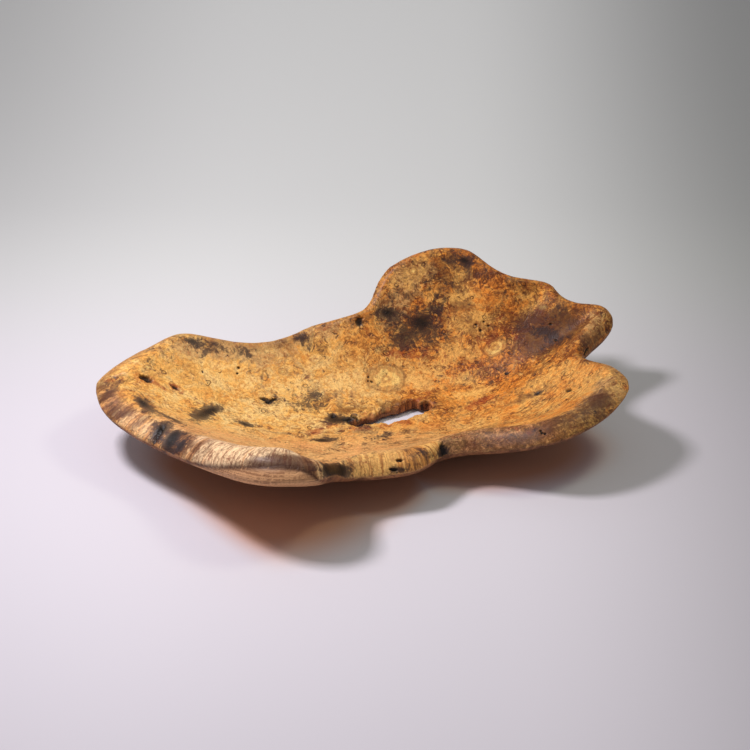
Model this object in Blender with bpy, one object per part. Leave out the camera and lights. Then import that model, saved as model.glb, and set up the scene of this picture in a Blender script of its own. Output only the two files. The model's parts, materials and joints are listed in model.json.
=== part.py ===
"""A shallow free-form bowl carved from one maple burl, with its natural rounded edge
and a ragged hole worn through its floor.

The bowl is one piece of wood. Its rim is walked round anticlockwise, seen from above,
from the left tip along the near side to the right tip and back along the far side.
Metres, +Z up, the middle of the bowl's box at the origin and its foot on Z = 0.
"""

import math

import bmesh
import bpy
import numpy as np
from mathutils import Vector, noise

MM = 0.001

# Each rim station in millimetres: the outermost point of the edge (across, away, up),
# how far inside it the crest of the rim lies, how much higher the crest stands,
# and how deep the rounded lip is under the edge.
LEFT_SHOULDER = (
    (-224, 10, 53, 28, 9, 12),
    (-215, -19, 49, 27, 9, 12),
    (-197, -42, 47, 26, 9, 12),
    (-176, -61, 45, 25, 9, 11),
    (-154, -79, 45, 24, 9, 11),
    (-132, -102, 50, 25, 11, 11),
)
FRONT_LOBE = (
    (-111, -127, 57, 23, 15, 9),
    (-89, -149, 63, 27, 18, 9),
    (-68, -159, 66, 33, 16, 8),
    (-49, -160, 67, 31, 13, 8),
    (-33, -154, 64, 21, 14, 8),
    (-24, -144, 61, 13, 13, 9),
    (-18, -129, 54, 8, 10, 9),
)
FRONT_LIP = (
    (-13, -114, 43, 9, 9, 8),
    (-3, -105, 37, 17, 12, 8),
    (14, -99, 34, 20, 13, 8),
    (32, -95, 34, 20, 13, 8),
    (47, -89, 34, 18, 12, 8),
    (58, -77, 33, 14, 11, 8),
    (66, -66, 32, 12, 10, 8),
)
RIGHT_TONGUE = (
    (80, -58, 32, 15, 11, 8),
    (98, -60, 34, 18, 12, 8),
    (125, -68, 41, 20, 12, 8),
    (151, -72, 48, 19, 11, 8),
    (177, -63, 53, 18, 11, 8),
    (200, -45, 57, 18, 11, 8),
    (217, -22, 61, 18, 9, 9),
    (224, -3, 63, 18, 8, 9),
    (221, 13, 64, 17, 6, 9),
    (212, 29, 64, 14, 5, 9),
    (202, 42, 60, 12, 4, 9),
)
RIGHT_FINGER = (
    (192, 59, 54, 11, 5, 9),
    (197, 73, 51, 13, 11, 9),
    (208, 87, 52, 15, 16, 9),
    (220, 101, 56, 16, 15, 9),
    (226, 114, 63, 15, 10, 10),
    (220, 126, 69, 12, 6, 10),
    (209, 130, 72, 10, 4, 10),
    (197, 131, 72, 9, 3, 11),
    (186, 134, 74, 10, 3, 12),
)
BACK_PEAK = (
    (178, 140, 78, 11, 3, 12),
    (173, 148, 82, 12, 3, 12),
    (165, 152, 84, 12, 3, 12),
    (150, 149, 88, 11, 3, 12),
    (133, 147, 92, 10, 3, 12),
    (119, 153, 97, 10, 3, 12),
    (108, 161, 103, 11, 3, 12),
    (96, 167, 109, 12, 3, 12),
    (79, 168, 111, 12, 3, 12),
    (58, 165, 110, 12, 3, 12),
    (37, 159, 104, 12, 3, 12),
    (19, 151, 96, 12, 3, 12),
    (11, 141, 85, 11, 3, 12),
    (6, 131, 76, 10, 3, 12),
)
BACK_LEFT = (
    (0, 124, 69, 9, 3, 12),
    (-11, 121, 66, 9, 3, 12),
    (-27, 120, 61, 10, 3, 12),
    (-47, 117, 57, 10, 3, 12),
    (-64, 108, 52, 10, 3, 12),
    (-83, 102, 49, 10, 3, 12),
    (-103, 100, 49, 10, 3, 12),
    (-123, 97, 54, 11, 3, 12),
    (-142, 96, 59, 12, 4, 12),
    (-160, 94, 62, 13, 4, 12),
    (-173, 85, 61, 15, 5, 12),
    (-190, 67, 59, 19, 6, 12),
    (-208, 46, 57, 24, 8, 12),
    (-221, 27, 54, 28, 9, 12),
)

# The power that each stretch of the rim falls by from crest to edge: 1 is a straight
# bevel, 2 is round, and more is a flat brow with a ridge and a facet outside it.
BROW = (
    (LEFT_SHOULDER, 2.3),
    (FRONT_LOBE, 4.2),
    (FRONT_LIP, 3.3),
    (RIGHT_TONGUE, 2.3),
    (RIGHT_FINGER, 2.3),
    (BACK_PEAK, 2.3),
    (BACK_LEFT, 2.3),
)

# The ragged edge of the hole in millimetres (across, away, up), from its left end
# along the near side to the right end and back along the far side.
HOLE = (
    (-9, 24, 12),
    (-6, 21, 12),
    (0, 23, 11),
    (5, 27, 11),
    (12, 28, 10),
    (19, 29, 10),
    (25, 28, 10),
    (30, 33, 10),
    (38, 35, 10),
    (44, 40, 10),
    (52, 45, 10),
    (58, 50, 11),
    (61, 55, 12),
    (57, 60, 13),
    (51, 58, 13),
    (46, 61, 14),
    (39, 60, 13),
    (34, 56, 13),
    (27, 54, 12),
    (18, 49, 12),
    (12, 43, 12),
    (4, 40, 12),
    (-1, 34, 12),
    (-4, 31, 12),
    (-8, 28, 12),
)
# The slot's slant in plan and its length over its width.
HOLE_SLANT = math.radians(27)
HOLE_STRETCH = 2.0
HOLE_STEPS = 8
# 0 keeps each hole point facing its rim point, and 1 spreads them evenly.
HOLE_EVENNESS = 0.35
HOLE_UNDERCUT = 1.0 * MM
HOLE_LIFT = 1.5 * MM
HOLE_BLUR = 4

STEPS_PER_STATION = 3
WALL_RINGS = 10
# Where the rings over the brow lie, as shares of the way from the crest to the edge.
BROW_RINGS = (0.28, 0.54, 0.77, 0.93)
# Where the rings of the lip lie, inward and down, as shares of the lip's depth.
LIP_RINGS = ((0.22, 0.55), (0.8, 1.0))
LOBE_BLUR = 40
NORMAL_BLUR = 12
NET_ACROSS = 0.12
CREST_BLUR = 5
LIP_BLUR = 14

# The power that the inside rises by towards each side: 1 is straight, 2 is a round dish.
HOLLOW_LEFT = 1.9
HOLLOW_FRONT = 1.5
HOLLOW_RIGHT = 1.7
HOLLOW_BACK = 1.3

WALL_AT_HOLE = 9.0 * MM
WALL = 13.0 * MM
WALL_FULL_AT = 0.3
# The underside keeps the hollow's rings out to this share, and then meets the lip.
UNDERSIDE_END = 0.82

FOOT_CENTRE = (8 * MM, 28 * MM)
FOOT_HALF = (80 * MM, 50 * MM)
FOOT_BLEND = 0.7

BUMP_SIZE = 38 * MM
BUMP_HEIGHT = 3.0 * MM
RIPPLE_SIZE = 50 * MM
RIPPLE_HEIGHT = 1.2 * MM
NOISE_PLACE = Vector((3.1, 7.4, 1.9))
MERGE = 1e-6

WOOD = (0.56, 0.33, 0.13, 1.0)
WOOD_ROUGHNESS = 0.42


def clear_scene():
    """Remove whatever the scene holds."""
    for item in list(bpy.data.objects):
        bpy.data.objects.remove(item, do_unlink=True)


def closed_curve(rows, steps):
    """Points along a smooth closed curve through all rows, with steps points to each."""
    p1 = np.array(rows, dtype=float)
    p0 = np.roll(p1, 1, axis=0)
    p2 = np.roll(p1, -1, axis=0)
    p3 = np.roll(p1, -2, axis=0)
    stretches = []
    for step in range(steps):
        t = step / steps
        bend = 2 * p0 - 5 * p1 + 4 * p2 - p3
        twist = -p0 + 3 * p1 - 3 * p2 + p3
        stretches.append(p1 + 0.5 * ((p2 - p0) * t + bend * t ** 2 + twist * t ** 3))
    return np.stack(stretches, axis=1).reshape(-1, p1.shape[1])


def blurred(ring, passes):
    """The ring with each point drawn towards its two neighbours, passes times."""
    for _ in range(passes):
        ring = 0.5 * ring + 0.25 * (np.roll(ring, 1, axis=0) + np.roll(ring, -1, axis=0))
    return ring


def outward(ring):
    """Unit vectors in plan that point out of an anticlockwise ring."""
    along = np.roll(ring, -1, axis=0) - np.roll(ring, 1, axis=0)
    normal = np.stack([along[:, 1], -along[:, 0]], axis=1)
    return normal / np.linalg.norm(normal, axis=1, keepdims=True)


def hole_ring(rim_plan):
    """One point of the hole's edge for each rim point, facing it and evenly spread.

    Both rings are turned by the slot's slant before their directions are matched.
    """
    edge = closed_curve(HOLE, HOLE_STEPS) * MM
    centre = edge[:, :2].mean(axis=0)
    loop = np.vstack([edge, edge[:1]])
    travel = np.append(0, np.cumsum(np.linalg.norm(np.diff(loop, axis=0), axis=1)))
    cosine, sine = math.cos(HOLE_SLANT), math.sin(HOLE_SLANT)
    turn = np.array([[cosine, -sine], [sine, cosine]])
    edge_turned = (blurred(edge[:, :2], LOBE_BLUR) - centre) @ turn
    rim_turned = (blurred(rim_plan, LOBE_BLUR) - centre) @ turn
    edge_angle = np.unwrap(np.arctan2(edge_turned[:, 1] * HOLE_STRETCH, edge_turned[:, 0]))
    rim_angle = np.arctan2(rim_turned[:, 1], rim_turned[:, 0])
    angles = np.append(edge_angle, edge_angle[0] + 2 * math.pi)
    rim_angle = (rim_angle - angles[0]) % (2 * math.pi) + angles[0]
    facing = np.unwrap(np.interp(rim_angle, angles, travel), period=travel[-1])
    even = travel[-1] * (np.arange(len(facing)) + 0.5) / len(facing)
    lead = blurred(facing - even, LOBE_BLUR)
    place = (even + lead.mean() + (lead - lead.mean()) * (1 - HOLE_EVENNESS)) % travel[-1]
    return np.stack([np.interp(place, travel, loop[:, axis]) for axis in range(3)], axis=1)


def settled(inner, outer, pulls, load):
    """Rings between two fixed rings, where each point rests among its four neighbours.

    The four pulls are towards the ring inside, the ring outside and the two neighbours
    on its own ring, and the load draws every point down. All are rings by points.
    """
    rings, around = load.shape[:2]
    index = np.arange(rings * around).reshape(rings, around)
    matrix = np.zeros((rings * around, rings * around))
    known = load.reshape(rings, around, -1).copy()
    matrix[index, index] = -sum(pulls)
    for side, step in ((2, -1), (3, 1)):
        matrix[index, np.roll(index, -step, axis=1)] = pulls[side]
    matrix[index[1:], index[:-1]] = pulls[0][1:]
    matrix[index[:-1], index[1:]] = pulls[1][:-1]
    known[0] -= pulls[0][0][:, None] * inner.reshape(around, -1)
    known[-1] -= pulls[1][-1][:, None] * outer.reshape(around, -1)
    found = np.linalg.solve(matrix, known.reshape(rings * around, -1))
    return found.reshape(load.shape)


def plan_net(inner, outer):
    """Plan positions of the hollow's rings, stretched between the hole and the crest."""
    size = (WALL_RINGS - 2, len(inner))
    across = np.full(size, NET_ACROSS)
    along = np.full(size, 1 - NET_ACROSS)
    middle = settled(inner, outer, (across, across, along, along), np.zeros(size + (2,)))
    return np.concatenate([inner[None], middle, outer[None]])


def hollow_power(direction):
    """The power that the inside rises by, for each outward direction in plan."""
    left = np.clip(-direction[:, 0], 0, 1) ** 2
    right = np.clip(direction[:, 0], 0, 1) ** 2
    front = np.clip(-direction[:, 1], 0, 1) ** 2
    back = np.clip(direction[:, 1], 0, 1) ** 2
    return left * HOLLOW_LEFT + right * HOLLOW_RIGHT + front * HOLLOW_FRONT + back * HOLLOW_BACK


def inside_rings(hole, crest):
    """The hollow, as rings from the hole's edge up to the crest of the rim."""
    net = plan_net(hole[:, :2], crest[:, :2])
    middle_of_hole = hole[:, :2].mean(axis=0)
    legs = np.linalg.norm(np.diff(net, axis=0), axis=2)
    near = np.linalg.norm(hole[:, :2] - middle_of_hole, axis=1)
    share = (near + np.cumsum(legs, axis=0)[:-1]) / (near + legs.sum(axis=0))
    far = blurred(crest[:, :2], LOBE_BLUR) - middle_of_hole
    reach = np.linalg.norm(far, axis=1)
    power = hollow_power(far / reach[:, None])
    rise = blurred(crest[:, 2:], LOBE_BLUR)[:, 0] - hole[:, 2].mean()
    load = power ** 2 * rise / reach ** 2 * share ** (power - 2)
    before, after = legs[:-1], legs[1:]
    left = np.linalg.norm(net[1:-1] - np.roll(net[1:-1], 1, axis=1), axis=2)
    right = np.roll(left, -1, axis=1)
    pulls = (
        2 / (before * (before + after)),
        2 / (after * (before + after)),
        2 / (left * (left + right)),
        2 / (right * (left + right)),
    )
    middle = settled(hole[:, 2], crest[:, 2], pulls, load)
    height = np.concatenate([hole[None, :, 2], middle, crest[None, :, 2]])
    return np.dstack([net, height])


def upward_normals(grid):
    """Unit normals of the hollow's rings, pointing up out of the wood."""
    around = np.roll(grid, -1, axis=1) - np.roll(grid, 1, axis=1)
    across = np.gradient(grid, axis=0)
    normal = np.cross(across, around)
    return normal / np.linalg.norm(normal, axis=2, keepdims=True)


def foot_blend(plan):
    """0 over the sanded foot, rising to 1 a little way outside it."""
    away = np.stack([
        (plan[..., 0] - FOOT_CENTRE[0]) / FOOT_HALF[0],
        (plan[..., 1] - FOOT_CENTRE[1]) / FOOT_HALF[1],
    ])
    step = np.clip((np.hypot(away[0], away[1]) - 1) / FOOT_BLEND, 0, 1)
    return step * step * (3 - 2 * step)


def lumpy(grid, normals, size, height):
    """The grid moved along its normals by smooth random lumps of a size and height."""
    rise = np.zeros(grid.shape[:2])
    for index in np.ndindex(rise.shape):
        rise[index] = height * noise.noise(Vector(grid[index]) / size + NOISE_PLACE)
    return grid + normals * rise[..., None]


def rippled(inside):
    """The hollow with slight ripples left by the carver, none at the hole and the crest."""
    share = np.linspace(0, 1, len(inside))[:, None, None]
    ripples = lumpy(inside, upward_normals(inside), RIPPLE_SIZE, RIPPLE_HEIGHT) - inside
    return inside + ripples * 4 * share * (1 - share)


def underside_rings(inside):
    """The lumpy underside, one wall's thickness below the hollow and flat over the foot."""
    share = np.linspace(0, 1, len(inside))[:, None, None]
    wall = WALL_AT_HOLE + (WALL - WALL_AT_HOLE) * np.clip(share / WALL_FULL_AT, 0, 1)
    normals = upward_normals(inside)
    below = lumpy(inside - normals * wall, normals, BUMP_SIZE, BUMP_HEIGHT)
    below[..., 2] = np.maximum(below[..., 2], 0) * foot_blend(below[..., :2])
    return below


def rim_rings(edge, crest, lip, brow, direction):
    """The rounded rim: from the crest over the brow to the edge and the lip under it."""
    rings = []
    for share in BROW_RINGS:
        ring = crest * (1 - share) + edge * share
        ring[:, 2] = crest[:, 2] - (crest[:, 2] - edge[:, 2]) * share ** brow
        rings.append(ring)
    rings.append(edge)
    for inward, down in LIP_RINGS:
        ring = edge.copy()
        ring[:, :2] -= direction * (lip * inward)[:, None]
        ring[:, 2] -= lip * down
        rings.append(blurred(ring, int(LIP_BLUR * inward)))
    return rings


def rim_stations():
    """The rim's stations in metres, each with the power of its brow as a last value."""
    rows = [station + (power / MM,) for stretch, power in BROW for station in stretch]
    return closed_curve(rows, STEPS_PER_STATION) * MM


def burl_rings():
    """All rings of the bowl's skin, from the hole's edge out, round the rim and back."""
    rows = rim_stations()
    edge, inset, rise, lip, brow = rows[:, :3], rows[:, 3], rows[:, 4], rows[:, 5], rows[:, 6]
    direction = outward(blurred(edge[:, :2], NORMAL_BLUR))
    crest = edge.copy()
    crest[:, :2] -= direction * inset[:, None]
    crest[:, 2] += rise
    crest = blurred(crest, CREST_BLUR)
    hole = hole_ring(edge[:, :2])
    inside = rippled(inside_rings(hole, crest))
    below = underside_rings(inside)
    kept = int(round(UNDERSIDE_END * (WALL_RINGS - 1)))
    hole_foot = blurred(hole, HOLE_BLUR)
    hole_foot[:, :2] += outward(blurred(hole[:, :2], NORMAL_BLUR)) * HOLE_UNDERCUT
    hole_foot[:, 2] = HOLE_LIFT
    hole_wall = 0.5 * (hole + hole_foot)
    rings = list(inside)
    rings += rim_rings(edge, crest, lip, brow, direction)
    rings += [below[index] for index in range(kept, 0, -1)]
    rings += [hole_foot, hole_wall]
    return centred(np.array(rings))


def centred(rings):
    """The rings with the middle of their box moved over the origin."""
    points = rings.reshape(-1, 3)
    middle = (points.min(axis=0) + points.max(axis=0)) / 2
    return rings - np.array([middle[0], middle[1], 0])


def skin(name, rings):
    """A closed mesh over the rings, from a grid whose two ways both close up."""
    across = len(rings)
    around = len(rings[0])
    bm = bmesh.new()
    bmesh.ops.create_grid(bm, x_segments=around, y_segments=across, size=0.5)
    for vert in bm.verts:
        column = round((vert.co.x + 0.5) * around) % around
        row = round((vert.co.y + 0.5) * across) % across
        vert.co = rings[row][column]
    bmesh.ops.remove_doubles(bm, verts=bm.verts, dist=MERGE)
    bmesh.ops.recalc_face_normals(bm, faces=bm.faces)
    mesh = bpy.data.meshes.new(name)
    bm.to_mesh(mesh)
    bm.free()
    return mesh


def wood():
    """Golden burl wood with a satin finish."""
    material = bpy.data.materials.new("maple_burl")
    material.use_nodes = True
    shader = material.node_tree.nodes["Principled BSDF"]
    shader.inputs["Base Color"].default_value = WOOD
    shader.inputs["Roughness"].default_value = WOOD_ROUGHNESS
    shader.inputs["Metallic"].default_value = 0.0
    return material


def main():
    clear_scene()
    mesh = skin("burl_bowl", burl_rings())
    bowl = bpy.data.objects.new("burl_bowl", mesh)
    bowl.data.materials.append(wood())
    bowl.data.shade_smooth()
    bpy.context.scene.collection.objects.link(bowl)


main()
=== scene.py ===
"""A shallow free-form bowl carved from one maple burl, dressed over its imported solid.

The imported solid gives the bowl's form. This script lays a fine skin of sanded wood over
it, with pits, cracks and a ragged hole, and gives it burl figure, stains and a satin
finish. Sizes in the tables are millimetres, seen from above, in the bowl's own frame.
"""

import json
import logging
import math
from dataclasses import dataclass
from enum import Enum

import bmesh
import bpy
import numpy as np
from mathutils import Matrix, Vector, kdtree, noise
from mathutils.bvhtree import BVHTree

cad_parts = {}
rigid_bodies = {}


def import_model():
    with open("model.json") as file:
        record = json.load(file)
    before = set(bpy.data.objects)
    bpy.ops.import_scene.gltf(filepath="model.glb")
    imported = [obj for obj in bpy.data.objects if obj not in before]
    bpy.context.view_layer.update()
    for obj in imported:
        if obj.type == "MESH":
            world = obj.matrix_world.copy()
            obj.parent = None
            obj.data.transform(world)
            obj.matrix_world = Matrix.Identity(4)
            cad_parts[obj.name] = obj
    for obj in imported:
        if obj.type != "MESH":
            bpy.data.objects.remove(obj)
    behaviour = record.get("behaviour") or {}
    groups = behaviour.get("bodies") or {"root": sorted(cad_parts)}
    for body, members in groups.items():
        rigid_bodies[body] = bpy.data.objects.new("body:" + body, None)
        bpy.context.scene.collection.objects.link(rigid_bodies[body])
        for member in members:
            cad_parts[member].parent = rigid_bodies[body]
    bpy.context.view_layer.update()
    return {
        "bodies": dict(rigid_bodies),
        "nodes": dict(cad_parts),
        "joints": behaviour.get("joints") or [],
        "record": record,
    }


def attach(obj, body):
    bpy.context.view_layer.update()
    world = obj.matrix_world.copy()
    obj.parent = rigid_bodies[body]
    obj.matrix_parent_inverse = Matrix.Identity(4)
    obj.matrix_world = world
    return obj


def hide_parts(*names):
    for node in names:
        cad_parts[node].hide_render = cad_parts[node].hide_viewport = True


LOG = logging.getLogger("burl_bowl")
MM = 0.001

Colour = tuple[float, float, float]
Row = tuple[float, float, float, float, float, float]

# Every row is an oval patch: across, away, half its length, half its width,
# the turn of its length in degrees, and its strength.
GREY_STAINS: tuple[Row, ...] = (
    (-25, -143, 9, 7, 10, 1.0),
    (-19, -134, 10, 8, 10, 1.0),
    (-12, -118, 10, 7, 40, 0.9),
    (170, 103, 12, 9, -10, 0.6),
    (152, 110, 9, 6, -10, 0.4),
    (-152, -70, 8, 5, 60, 0.6),
    (-162, -60, 12, 7, 70, 1.0),
    (-152, -73, 13, 5, 60, 0.95),
    (42, 112, 26, 14, 10, 0.55),
    (30, 126, 12, 8, 30, 0.4),
    (-3, 107, 6, 4, 0, 0.6),
    (-15, 27, 14, 6, 20, 0.7),
    (-26, 26, 7, 6, 0, 0.7),
    (-45, 44, 14, 8, 0, 0.4),
    (58, -84, 10, 5, 0, 0.6),
    (-181, -21, 12, 6, -62, 0.95),
    (-173, -29, 14, 6, -66, 0.5),
    (-154, -39, 11, 4, -35, 0.85),
    (-128, 8, 15, 6, 60, 1.0),
    (-134, -5, 13, 6, 70, 0.75),
    (-140, -17, 13, 7, 82, 0.4),
    (-99, 0, 9, 4, -16, 0.95),
    (-34, -9, 13, 5, 7, 0.95),
    (-39, 59, 9, 5, -21, 0.6),
    (-46, 50, 14, 9, -8, 0.3),
    (-149, 76, 8, 4, -7, 0.8),
    (-131, 76, 26, 5, 1, 0.5),
    (-105, 79, 11, 6, -1, 0.4),
    (-179, 37, 13, 6, -12, 0.35),
    (-81, 43, 10, 5, 15, 0.5),
    (22, 118, 8, 5, 3, 0.9),
    (38, 119, 16, 6, -4, 0.42),
    (53, 119, 9, 7, 2, 0.85),
    (64, 126, 8, 6, 17, 0.5),
    (36, 107, 10, 8, 86, 0.4),
    (91, 148, 7, 4, -20, 0.95),
    (82, 146, 14, 7, -10, 0.4),
    (-53, 96, 8, 5, 2, 0.45),
    (-40, 92, 8, 5, -9, 0.4),
    (16, 1, 12, 8, -9, 0.45),
    (-20, -134, 17, 9, 66, 1.0),
    (-14, -120, 12, 8, 66, 0.8),
    (-20, -66, 20, 7, -85, 0.3),
    (113, 76, 4, 3, -29, 0.6),
    (127, 81, 4, 3, 11, 0.6),
    (151, 30, 5, 3, 9, 0.6),
    (-11, 24, 14, 6, -13, 0.75),
    (-25, 33, 6, 5, -88, 0.8),
    (-144, -84, 9, 5, 50, 0.8),
    (-151, -80, 11, 4, 62, 0.6),
    (31, -97, 8, 3, 1, 0.8),
    (66, -68, 6, 6, -61, 1.0),
    (51, 115, 20, 18, 6, 0.1),
    (65, 135, 12, 11, 89, 0.35),
    (69, 114, 12, 5, -20, 0.35),
)
BROWN_CLOUDS: tuple[Row, ...] = (
    (150, 112, 22, 14, -10, 0.5),
    (172, 104, 20, 15, -10, 0.7),
    (158, 106, 18, 14, -10, 0.45),
    (84, 128, 16, 10, 20, 0.4),
    (-82, -148, 8, 3, -12, 0.6),
    (-60, -150, 14, 4.5, -12, 0.85),
    (-212, -10, 12, 5, 40, 0.9),
    (-205, -30, 12, 4, 40, 0.85),
    (-184, -50, 12, 5, 50, 0.6),
    (-150, -80, 18, 10, 50, 0.8),
    (-130, -98, 14, 6, 60, 0.6),
    (-62, -150, 22, 7, 0, 0.75),
    (-42, -150, 12, 6, -30, 0.8),
    (-10, 46, 24, 10, 0, 0.45),
    (-22, 0, 40, 12, 0, 0.35),
    (40, -20, 40, 14, 10, 0.4),
    (20, -60, 40, 12, 0, 0.35),
    (110, -64, 44, 12, 6, 0.4),
    (160, -60, 30, 10, 24, 0.45),
    (196, -34, 16, 10, 60, 0.7),
    (160, 104, 24, 20, 0, 0.6),
    (84, 142, 24, 14, 0, 0.4),
    (60, 116, 30, 16, 0, 0.35),
    (-197, -36, 13, 6, 28, 0.85),
    (-216, 4, 11, 7, -22, 0.6),
    (-202, 4, 9, 4, 16, 0.7),
    (-164, -65, 12, 5, 73, 0.95),
    (-139, -89, 11, 7, 60, 0.8),
    (-122, -108, 11, 6, 50, 0.4),
    (165, 108, 18, 17, -19, 0.85),
    (186, 111, 12, 11, 15, 0.7),
    (153, 96, 13, 8, -10, 0.5),
    (200, 97, 12, 8, 65, 0.35),
    (74, 148, 14, 7, 10, 0.5),
    (67, 141, 11, 9, -1, 0.45),
    (103, 141, 11, 6, -31, 0.5),
    (60, 106, 18, 6, 1, 0.4),
    (96, 115, 18, 13, -1, 0.35),
    (127, 121, 14, 11, 0, 0.4),
    (131, 89, 19, 10, 15, 0.35),
    (77, 73, 18, 8, 12, 0.4),
    (140, 36, 21, 8, 2, 0.3),
    (116, -6, 27, 9, 22, 0.35),
    (160, -57, 22, 8, 21, 0.4),
    (190, -36, 12, 7, 80, 0.55),
    (199, 80, 11, 8, 25, 0.5),
    (-53, 96, 10, 5, 2, 0.6),
    (-38, 91, 11, 6, -19, 0.5),
    (-138, 77, 14, 5, -1, 0.45),
    (-68, 92, 13, 5, 17, 0.35),
    (-33, 59, 12, 10, 8, 0.35),
    (-46, -153, 14, 5, 2, 0.3),
    (51, -86, 14, 6, 20, 0.4),
    (88, -59, 20, 6, 9, 0.45),
    (128, -68, 21, 6, 10, 0.4),
    (11, 12, 22, 7, 3, 0.35),
    (61, 57, 12, 9, 75, 0.5),
    (31, 54, 19, 8, 20, 0.6),
    (-15, 39, 10, 7, 1, 0.5),
    (21, 112, 13, 7, 3, 0.35),
    (92, 130, 36, 30, -3, 0.15),
    (158, 128, 20, 7, -16, 0.25),
)
RED_STAINS: tuple[Row, ...] = (
    (106, 49, 10, 6, 16, 0.9),
    (95, 45, 9, 4, 26, 0.5),
    (135, -64, 5, 4, 10, 0.7),
    (-40, 6, 7, 4, 47, 0.9),
    (33, 100, 18, 5, 3, 0.5),
    (-159, 23, 5, 4, -17, 1.0),
    (-182, 17, 9, 6, -1, 0.55),
    (-171, 17, 8, 2, -22, 0.7),
    (60, 104, 14, 5, 11, 0.5),
    (49, 55, 19, 4, 37, 0.6),
    (-4, 14, 12, 4, 5, 0.35),
    (122, 112, 21, 15, -1, 0.3),
    (165, 107, 16, 15, -5, 0.4),
    (-210, 9, 9, 4, 5, 0.5),
    (24, 21, 20, 4, 19, 0.5),
    (-28, 19, 7, 7, -23, 0.5),
    (78, 122, 14, 9, -1, 0.3),
    (148, -19, 14, 6, 20, 0.4),
)
OLIVE_PATCHES: tuple[Row, ...] = (
    (32, 128, 24, 13, 45, 0.9),
    (48, 140, 20, 9, 10, 0.9),
    (24, 116, 12, 10, 0, 0.5),
    (-107, 80, 40, 10, 0, 0.8),
    (-150, 70, 24, 10, 20, 0.7),
    (-64, 92, 22, 9, 10, 0.6),
    (-30, 102, 20, 8, 10, 0.6),
    (203, -22, 20, 14, 60, 0.9),
    (190, -40, 18, 10, 50, 0.8),
    (208, 100, 16, 14, 30, 0.6),
    (200, 80, 16, 10, 40, 0.6),
    (0, 5, 22, 9, 0, 0.4),
    (-24, 60, 30, 12, 0, 0.35),
)
GOLD_PATCHES: tuple[Row, ...] = (
    (88, 131, 16, 6, 4, 0.9),
    (87, 141, 12, 4, 30, 0.6),
    (91, 83, 11, 6, -4, 0.85),
    (68, 93, 5, 5, 2, 0.9),
    (21, 80, 26, 17, 10, 0.6),
    (141, 128, 13, 5, -12, 0.5),
    (-85, 84, 10, 5, 3, 0.7),
    (-15, 71, 20, 10, 5, 0.5),
    (-64, 63, 27, 12, 7, 0.35),
    (47, 141, 14, 12, 0, 0.45),
    (33, 134, 13, 9, 0, 0.4),
    (176, 127, 9, 7, 66, 0.4),
    (216, 105, 10, 7, 32, 0.4),
    (-106, 53, 27, 13, 15, 0.3),
    (-96, 18, 27, 12, 19, 0.3),
    (96, 101, 12, 5, -1, 0.5),
    (15, -93, 32, 6, 6, 0.5),
    (-84, -132, 27, 11, -39, 0.8),
    (96, 118, 20, 10, 0, 0.95),
    (80, 104, 16, 8, 0, 0.8),
    (60, 88, 14, 7, 0, 0.6),
    (104, 66, 12, 7, 10, 0.7),
    (88, 66, 8, 5, 0, 0.6),
    (-180, -50, 11, 8, 28, 0.7),
    (170, 44, 23, 12, -6, 0.4),
    (124, 108, 7, 5, 31, 0.6),
    (105, 120, 12, 5, 0, 0.35),
    (51, 79, 9, 6, 6, 0.5),
    (206, -17, 11, 8, 56, 0.4),
)
EYES: tuple[Row, ...] = (
    (21, 80, 18, 13, 12, 1.0),
    (-70, 73, 7.2, 5.0, 6, 0.45),
    (118, 104, 11, 8, 32, 1.0),
    (-141, 12, 3.0, 2.4, 66, 1.0),
    (-14, 98, 3.5, 2.7, 0, 0.7),
    (139, 73, 6.6, 3.5, -58, 0.45),
    (161, 122, 6.3, 4.6, -7, 0.6),
    (-182, 30, 5.0, 4.0, 46, 0.7),
    (68, 93, 5.5, 4.5, 2, 0.5),
    (39, 109, 3.7, 2.7, 3, 0.8),
    (35, 104, 3.7, 2.7, 5, 0.7),
    (45, 140, 6.4, 6.0, -1, 0.4),
    (91, 84, 6.3, 4.8, -7, 0.5),
    (58, 126, 3.6, 2.7, 1, 0.5),
    (-162, 26, 5.0, 3.2, 38, 0.3),
    (175, 97, 5.3, 4.1, -54, 0.4),
)
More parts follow.
